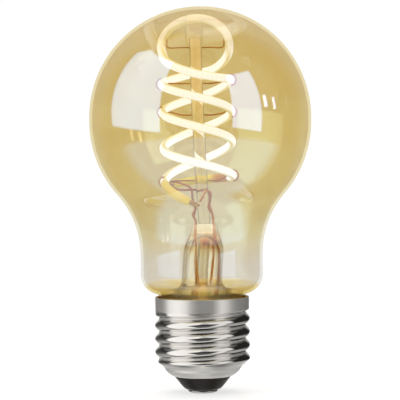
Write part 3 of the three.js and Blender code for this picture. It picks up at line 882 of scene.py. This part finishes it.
shellHigh = boxOf("screw_shell")[1]
shell = {
    "bandRadius": 12.85,
    "threadRadius": 13.05,
    "threadDepth": 1.2,
    "pitch": 25.4 / 7,
    "grooveRound": 0.2,
    "crestZ": 20.4,
    "threadBottom": 8.3,
    "rolledTop": 23.2,
    "bandEdge": 21.6,  # where the thread runs into the band, on average round the shell
    "wall": 0.3,
    "top": shellHigh[2],
    "columns": 192,
    "light": (0.80, 0.785, 0.76),
    "dark": (0.72, 0.70, 0.67),
    "bandShade": (0.58, 0.57, 0.55),  # laid over the band by its share
    "bandShare": 0.2,
    "bandFrom": (21.9, 22.9),  # heights between which satin and polish change over
    "coneTo": (7.6, 8.6),
    "bandRoughness": 0.34,
    "threadRoughness": 0.07,
    "coneRoughness": 0.40,
    "grooveRoughness": 0.28,
    "satinMetallic": 0.85,  # of the satin parts and the grooves
}
rootRadius = shell["threadRadius"] - shell["threadDepth"]


# The rolled sheet has round crests between narrow grooves: |cos| of the height in half turns,
# rounded where it meets zero by taking hypot with a small number. It slides one pitch per turn, and
# fades into the cone and the band.
def crestShare(angle, z):
    phase = (z - shell["crestZ"]) / shell["pitch"] - angle / (2 * math.pi)
    soft = shell["grooveRound"]
    return (np.hypot(np.cos(math.pi * phase), soft) - soft) / (math.hypot(1, soft) - soft)


# root radius plus depth times crest share, then the band's radius above its edge
def rolledRadius(angle, z):
    wave = crestShare(angle, z)
    fadeIn = smooth(shell["threadBottom"] - 0.6, shell["threadBottom"] + 1.2, z)
    thread = rootRadius + shell["threadDepth"] * wave * fadeIn
    edge = shell["bandEdge"] + 0.7 * np.cos(angle)
    share = smooth(edge, edge + 0.8, z)
    return thread + (shell["bandRadius"] - thread) * share


def upright(radius, z):
    return np.stack([np.full(len(z), radius), z], -1)


rolledZ = np.linspace(shell["threadBottom"], shell["rolledTop"], 170)
lowerOutside = [[8, 4.6], [8.8, 5.05], [9.6, 5.65], [10.2, 6.3], [10.6, 7.1], [11.2, 7.7]]
lowerInside = [[10.95, 7.95], [10.3, 7.25], [9.9, 6.45], [9.4, 5.9], [8.65, 5.35], [7.9, 4.93]]
lower = divided(softened(lowerInside + lowerOutside, 0.35, 5, False), 0.3)
bandZ = np.linspace(shell["rolledTop"], shell["top"] - 0.12, 12)[1:]
innerBand = upright(shell["bandRadius"] - shell["wall"], bandZ)
outerBand = upright(shell["bandRadius"], bandZ)
lip = arc(shell["bandRadius"] - shell["wall"] / 2, shell["top"] - 0.15, shell["wall"] / 2, 0, 180, 8)
rolledIn = upright(rootRadius - shell["wall"], rolledZ)
rolledOut = upright(rootRadius, rolledZ)
shellOutline = np.vstack([innerBand[::-1], rolledIn[::-1], lower, rolledOut, outerBand, lip])
shellGrid = turned(shellOutline, shell["columns"])
outlineRow = np.arange(len(shellOutline))
isInner = (outlineRow >= len(innerBand)) & (outlineRow < len(innerBand) + len(rolledIn))
outerStart = len(innerBand) + len(rolledIn) + len(lower)
isRolled = isInner | ((outlineRow >= outerStart) & (outlineRow < outerStart + len(rolledOut)))
angle = np.arctan2(shellGrid[..., 1], shellGrid[..., 0])
radius = rolledRadius(angle, shellGrid[..., 2]) - isInner[:, None] * shell["wall"]
for axis, trig in ((0, np.cos), (1, np.sin)):
    shellGrid[..., axis] = np.where(isRolled[:, None], radius * trig(angle), shellGrid[..., axis])


# Nickel plate: satin on the band and the cone, where it is brushed round, and polished by rolling
# on the thread.
def makeShellMetal():
    material, tree, out = startMaterial("shellNickel")
    place = objectPlace(tree)
    height = heightOf(tree, place)
    streak, cloud = grain(tree, place, 700, (1, 1, 0.05))
    low, high = shell["bandFrom"]
    band = eased(tree, height, low * mm, high * mm)
    cone = below(tree, height, shell["coneTo"])
    rough = ranged(tree, band, 0.0, 1.0, shell["threadRoughness"], shell["bandRoughness"])
    rough = added(tree, rough, cone, shell["coneRoughness"] - shell["threadRoughness"])
    satin = maths(tree, "ADD", band, cone, clamp=True)
    rough = added(tree, rough, satin, ranged(tree, streak, 0.3, 0.7, -0.05, 0.05))
    colour = mixColour(tree, ranged(tree, cloud, 0.35, 0.65), shell["dark"], shell["light"])
    colour = mixColour(tree, times(tree, band, shell["bandShare"]), colour, shell["bandShade"])
    crest = node(tree, "Attribute", attribute_name="crest").outputs["Fac"]
    lowInGroove = eased(tree, crest, 0.0, 0.42, 1.0, 0.0)
    groove = maths(tree, "SUBTRACT", lowInGroove, satin, clamp=True)
    dull = maths(tree, "MAXIMUM", satin, groove)
    inputs = {
        "Base Color": colour,
        "Roughness": added(tree, rough, groove, shell["grooveRoughness"]),
        "Metallic": ranged(tree, dull, 0.0, 1.0, 1.0, shell["satinMetallic"]),
        "Normal": bumped(tree, times(tree, streak, satin), 0.2, 0.02),
    }
    principled(tree, out, inputs)
    return material


crestFact = np.where(isRolled[:, None], crestShare(angle, shellGrid[..., 2]), 1.0)
shellFacts = {"closedRows": True, "sharpDeg": 60, "facts": {"crest": crestFact}}
piece("screwShell", shellGrid, makeShellMetal(), "cap_metal", "screw_shell", **shellFacts)
print("screw shell made")

# Insulator, contact and cement

capLooks = {
    # light tone, dark tone, roughness range, metallic, grain scale, bump, specular level
    "insulatorGlass": ((0.014, 0.012, 0.010), (0.009, 0.008, 0.007), (0.16, 0.3), 0.0, 500, 0.25, 0.18),
    "contactMetal": ((0.62, 0.61, 0.59), (0.50, 0.49, 0.47), (0.24, 0.38), 1.0, 900, 0.2, 0.5),
    "capCement": ((0.36, 0.30, 0.15), (0.28, 0.23, 0.11), (0.7, 0.9), 0.0, 1500, 0.6, 0.5),
}
capFinish = {finishName: plainFinish(finishName, *look) for finishName, look in capLooks.items()}
insulatorOutline = [
    [1.7, 4.4], [1.7, 0.6], [2.7, 0.6], [3.2, 0.7], [3.55, 0.95], [4.4, 0.9], [5.2, 1.35], [6.1, 2.4],
    [6.95, 3.5], [7.45, 4.1], [7.75, 4.55], [7.75, 5.05], [8.6, 5.55], [9.2, 6.05], [9.2, 6.3], [8.4, 6.3],
    [7.2, 4.9],
]
contactOutline = [
    [0, 0], [2.7, 0], [3.5, 0.12], [4, 0.42], [4.05, 0.75], [3.7, 0.75], [3.35, 0.5], [2.7, 0.4], [0, 0.4],
]
cementTop = boxOf("cap_cement")[1][2]
cementOutline = [
    [11.87, 25.05], [10.6, 25.05], [10.6, 22.4], [11.3, 22.4], [12.4, 23.6],
    [12.4, cementTop], [12.15, cementTop],
]
insulatorGrid = turned(softened(insulatorOutline, 0.45, 6), 128)
contactGrid = turned(softened(contactOutline, 0.25, 5, False), 96)
cementGrid = turned(softened(cementOutline, 0.2, 4), 96)
blackGlass, nickel, resin = capFinish.values()
piece("capInsulator", insulatorGrid, blackGlass, "insulator_glass", "cap_insulator", closedRows=True)
piece("centreContact", contactGrid, nickel, "contact_metal", "centre_contact")
piece("capCement", cementGrid, resin, "cement", "cap_cement", closedRows=True)
print("cap made")

# Boards and parts inside the cap: their CAD solids stay and take these finishes

insideLooks = {
    # slot: its nodes, light tone, dark tone, roughness range, metallic, grain scale
    "liner_plastic": (["cap_liner"], (0.72, 0.72, 0.70), (0.62, 0.62, 0.60), (0.4, 0.55), 0.0, 600),
    "driver_board": (["driver_board"], (0.03, 0.17, 0.07), (0.02, 0.11, 0.045), (0.35, 0.5), 0.0, 400),
    "wifi_board": (["wifi_board"], (0.025, 0.035, 0.05), (0.015, 0.02, 0.03), (0.3, 0.45), 0.0, 400),
    "chip_plastic": (
        ["bridge_rectifier", "driver_chip", "wifi_chip", "board_header"],
        (0.030, 0.030, 0.032), (0.018, 0.018, 0.019), (0.5, 0.7), 0.0, 1500,
    ),
    "capacitor_sleeve": (
        ["bulk_capacitor"], (0.03, 0.035, 0.10), (0.02, 0.022, 0.06), (0.25, 0.4), 0.0, 500,
    ),
    "film_capacitor": (["film_capacitor"], (0.52, 0.33, 0.06), (0.42, 0.25, 0.04), (0.35, 0.5), 0.0, 700),
    "varistor": (["varistor"], (0.04, 0.13, 0.36), (0.03, 0.09, 0.26), (0.3, 0.45), 0.0, 600),
    "ferrite": (["inductor_core"], (0.055, 0.055, 0.06), (0.035, 0.035, 0.038), (0.6, 0.85), 0.0, 1800),
    "copper": (
        ["inductor_winding", "antenna"], (0.80, 0.42, 0.20), (0.62, 0.29, 0.13), (0.25, 0.4), 1.0, 1600,
    ),
    "tinned_steel": (["wifi_shield_can"], (0.70, 0.70, 0.69), (0.58, 0.58, 0.57), (0.25, 0.4), 1.0, 500),
    "resistor_coat": (["fuse_resistor"], (0.22, 0.33, 0.25), (0.16, 0.25, 0.19), (0.45, 0.6), 0.0, 900),
    "red_wire": (["live_wire"], (0.46, 0.03, 0.02), (0.34, 0.02, 0.015), (0.4, 0.55), 0.0, 800),
    "black_wire": (["neutral_wire"], (0.025, 0.025, 0.025), (0.015, 0.015, 0.015), (0.4, 0.55), 0.0, 800),
}
insideFinish = {}
for slotName, (nodeNames, *look) in insideLooks.items():
    finish = plainFinish(slotName, *look)
    insideFinish.update({nodeName: finish for nodeName in nodeNames})
for nodeName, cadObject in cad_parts.items():
    if cadObject.hide_render:
        continue
    for materialSlot in cadObject.material_slots:
        materialSlot.material = insideFinish[nodeName]
    if not cadObject.material_slots:
        cadObject.data.materials.append(insideFinish[nodeName])
print("parts inside the cap finished")

# Studio

studio = {
    "viewDistance": 500.0,
    "viewHeightDeg": 1.5,
    "viewRollDeg": -0.6,
    "lookAt": (-0.29, 0.0, 52.7),
    "lens": 164.7,
    "clip": (0.01, 10.0),  # metres
    "backdrop": (1.02, 1.02, 1.02),
    # place, size, power and colour of each light
    "lights": {
        "softLeft": ((-500, -350, 300), 400, 2.2, (1, 0.98, 0.95)),
        "softRight": ((480, -420, 260), 360, 1.5, (1, 0.98, 0.95)),
        "softTop": ((0, 100, 600), 500, 3.0, (1, 1, 1)),
    },
    "floorRadius": 300.0,
    "floorZ": -0.05,
    "floorSides": 96,
    "floorTones": ((0.29, 0.29, 0.29), (0.31, 0.31, 0.308)),
    "floorGlow": 0.62,
}
# What glass mirrors. Outlines are corners as seen from the lamp, (degrees round from the camera,
# degrees up), and a pair of degrees is a soft step.
glassView = {
    "leftBox": [(-102.5, -2), (-42, -11), (-42, 55), (-97, 55), (-112, 45)],
    "leftSpan": (-100.0, -50.0),
    "leftTones": ((3.2, 5.0, 8.7), (2.9, 4.9, 9.2)),
    "rightBox": [(33, -7), (66, -10), (66, 41), (33, 41)],
    "rightColour": (3.3, 4.9, 9.5),
    "edge": 1.2,  # softness of the boxes' edges, degrees
    # two small lamps that glint on the right
    "glints": [[(70, 8), (74, 8), (74, 18), (70, 18)], [(81.5, 6), (84.5, 6), (84.5, 15), (81.5, 15)]],
    "glintEdge": 1.0,
    "glintColour": (8, 9, 14),
    "room": (0.34, 0.24, 0.11),
    "behind": (1.2, 1.6, 2.3),
    "behindRound": (104.0, 160.0),
    "behindUp": (-32.0, -6.0),
    "behindLow": 0.12,  # its share under that
    "floor": (1.0, 2.1, 3.7),
    "floorUp": (-20.0, -15.0),
    "floorRound": (78.0, 102.0),
    "again": (0.66, 0.54, 0.30),  # what is mirrored a second time, inside the glass
}
# What metal mirrors: the same boxes with their images in the floor, a lit ceiling and a lit floor
# underneath.
metalView = {
    # (degrees up, grey)
    "front": [
        (-90, 0.80), (-70, 0.74), (-60, 0.12), (-14, 0.10), (-4, 0.02), (14, 0.015), (28, 0.28), (42, 0.68),
        (90, 0.66),
    ],
    "right": [
        (-90, 0.40), (-62, 0.20), (-45, 0.50), (-25, 0.40), (-12, 0.06), (-4, 0.02), (40, 0.02), (60, 0.35),
        (90, 0.60),
    ],
    "left": [
        (-90, 0.70), (-62, 0.20), (-45, 0.50), (-22, 0.30), (-10, 0.12), (10, 0.08), (26, 0.03), (48, 0.35),
        (90, 0.60),
    ],
    "rightRound": (64.0, 74.0),
    "leftRound": (-108.0, -98.0),
    "backRound": (150.0, 172.0),
    "back": (0.80, 0.79, 0.77),
    # upper and lower outline of the tall box on each side, and its colour
    "talls": [
        (
            [(-96, -4), (-44, -4), (-8, 30), (-8, 62), (-96, 62)],
            [(-96, -60), (-14, -60), (-38, 8), (-96, 8)],
            (1.2, 1.19, 1.17),
        ),
        (
            [(46, -4), (76, -4), (84, 54), (12, 54), (12, 30)],
            [(26, -58), (66, -58), (62, 8), (42, 8)],
            (0.95, 0.94, 0.92),
        ),
    ],
    "tallEdge": 7.0,
}


# 1 inside a convex outline in degrees, 0 outside: the smoothed half-planes of its sides, multiplied
def insideOutline(tree, azimuth, elevation, corners, edge):
    result = None
    for (x0, y0), (x1, y1) in zip(corners, corners[1:] + corners[:1]):
        length = math.hypot(x1 - x0, y1 - y0)
        nx, ny = -(y1 - y0) / length, (x1 - x0) / length
        distance = added(tree, times(tree, azimuth, nx), elevation, ny)
        mask = eased(tree, distance, nx * x0 + ny * y0 - edge, nx * x0 + ny * y0 + edge)
        result = mask if result is None else times(tree, result, mask)
    return result


def makeWorld():
    world = bpy.data.worlds.new("studio")
    world.use_nodes = True
    tree = world.node_tree
    tree.nodes.clear()
    direction = node(tree, "TexCoord").outputs["Generated"]
    parts = node(tree, "SeparateXYZ", {0: direction})
    backwards = times(tree, parts.outputs[1], -1.0)
    degrees = 180 / math.pi
    azimuth = times(tree, maths(tree, "ARCTAN2", parts.outputs[0], backwards), degrees)
    elevation = times(tree, maths(tree, "ARCSINE", parts.outputs[2]), degrees)
    around = maths(tree, "ABSOLUTE", azimuth)
    glass = glassView
    behind = eased(tree, around, *glass["behindRound"])
    raised = eased(tree, elevation, *glass["behindUp"], glass["behindLow"], 1.0)
    seen = mixColour(tree, times(tree, behind, raised), glass["room"], glass["behind"])
    inFront = eased(tree, around, *glass["floorRound"], 1.0, 0.0)
    low = eased(tree, elevation, *glass["floorUp"], 1.0, 0.0)
    seen = mixColour(tree, times(tree, low, inFront), seen, glass["floor"])
    leftColour = mixColour(tree, ranged(tree, azimuth, *glass["leftSpan"]), *glass["leftTones"])
    boxes = [
        (glass["leftBox"], leftColour, glass["edge"]),
        (glass["rightBox"], glass["rightColour"], glass["edge"]),
        *((corners, glass["glintColour"], glass["glintEdge"]) for corners in glass["glints"]),
    ]
    for corners, colour, edge in boxes:
        seen = mixColour(tree, insideOutline(tree, azimuth, elevation, corners, edge), seen, colour)
    greys = {}
    for side in ("front", "right", "left"):
        stops = [(degrees, (grey, grey, grey * 0.985)) for degrees, grey in metalView[side]]
        greys[side] = ramped(tree, elevation, stops)
    onRight = eased(tree, azimuth, *metalView["rightRound"])
    onLeft = eased(tree, azimuth, *metalView["leftRound"], 1.0, 0.0)
    metal = mixColour(tree, onRight, greys["front"], greys["right"])
    metal = mixColour(tree, onLeft, metal, greys["left"])
    onBack = eased(tree, around, *metalView["backRound"])
    metal = mixColour(tree, onBack, metal, metalView["back"])
    for *outlines, colour in metalView["talls"]:
        masks = [insideOutline(tree, azimuth, elevation, one, metalView["tallEdge"]) for one in outlines]
        metal = mixColour(tree, maths(tree, "MAXIMUM", *masks), metal, colour)
    path = node(tree, "LightPath").outputs
    isMirrored = maths(tree, "GREATER_THAN", path["Glossy Depth"], 0.5)
    isFirst = maths(tree, "LESS_THAN", path["Glossy Depth"], 1.5)
    sharp = times(tree, path["Is Singular Ray"], isFirst)
    deep = maths(tree, "SUBTRACT", path["Is Singular Ray"], sharp, clamp=True)
    mirrorView = mixColour(tree, sharp, mixColour(tree, deep, metal, glass["again"]), seen)
    colour = mixColour(tree, isMirrored, studio["backdrop"], mirrorView)
    background = node(tree, "Background", {"Color": colour, "Strength": 1.0})
    out = tree.nodes.new("ShaderNodeOutputWorld")
    tree.links.new(background.outputs[0], out.inputs[0])
    world.cycles.sampling_method = "NONE"
    bpy.context.scene.world = world


makeWorld()


def areaLight(name, place, size, power, colour):
    light = bpy.data.lights.new(name, "AREA")
    light.shape = "DISK"
    light.size = size * mm
    light.energy = power
    light.color = colour
    made = linked(name, light)
    made.location = Vector(place) * mm
    made.rotation_euler = (Vector((0, 0, 50)) * mm - made.location).to_track_quat("-Z", "Y").to_euler()
    made.visible_camera = False
    made.visible_glossy = False
    made.visible_transmission = False


for lightName, light in studio["lights"].items():
    areaLight(lightName, *light)


# A disc: rings round the lamp's axis at shares of the radius, just under the contact.
def makeFloor():
    sides, z = studio["floorSides"], studio["floorZ"]
    angle = np.linspace(0, 2 * math.pi, sides, endpoint=False)
    reach = studio["floorRadius"] * np.array([1.0, 0.6, 0.3])[:, None]
    grid = np.stack([reach * np.cos(angle), reach * np.sin(angle), np.full((3, sides), z)], -1)
    ids = np.arange(3 * sides).reshape(3, sides)
    quads = quadsBetween(ids).tolist()
    triangles = np.stack([ids[2], np.roll(ids[2], -1), np.full(sides, 3 * sides)], -1).tolist()
    points = np.vstack([grid.reshape(-1, 3), [[0, 0, z]]]) * mm
    mesh = bpy.data.meshes.new("floor")
    mesh.from_pydata(points.tolist(), [], quads + triangles)
    floor = linked("floor", mesh)
    material, tree, out = startMaterial("floorPaper")
    inputs = {
        "Base Color": mixColour(tree, grain(tree, objectPlace(tree), 40)[1], *studio["floorTones"]),
        "Roughness": 0.9,
        "Specular IOR Level": 0.0,
        "Emission Color": (1, 1, 1),
        "Emission Strength": studio["floorGlow"],
    }
    shader = node(tree, "BsdfPrincipled", inputs)
    # seen from underneath the paper is clear
    isBack = node(tree, "NewGeometry").outputs["Backfacing"]
    clear = node(tree, "BsdfTransparent")
    both = node(tree, "MixShader", {0: isBack, 1: shader.outputs[0], 2: clear.outputs[0]})
    tree.links.new(both.outputs[0], out.inputs[0])
    mesh.materials.append(material)
    floor.visible_glossy = False


makeFloor()

camera = bpy.data.cameras.new("camera")
camera.lens = studio["lens"]
camera.sensor_width = 36.0
camera.clip_start, camera.clip_end = studio["clip"]
cameraObject = linked("camera", camera)
lookAt = Vector(studio["lookAt"]) * mm
tilt = math.radians(studio["viewHeightDeg"])
cameraObject.location = lookAt + Vector((0, -math.cos(tilt), math.sin(tilt))) * studio["viewDistance"] * mm
turn = (lookAt - cameraObject.location).to_track_quat("-Z", "Y").to_matrix().to_4x4()
roll = Matrix.Rotation(math.radians(studio["viewRollDeg"]), 4, "Z")
cameraObject.rotation_euler = (turn @ roll).to_euler()
bpy.context.scene.camera = cameraObject
bpy.context.scene.view_settings.view_transform = "Standard"
print("studio made")
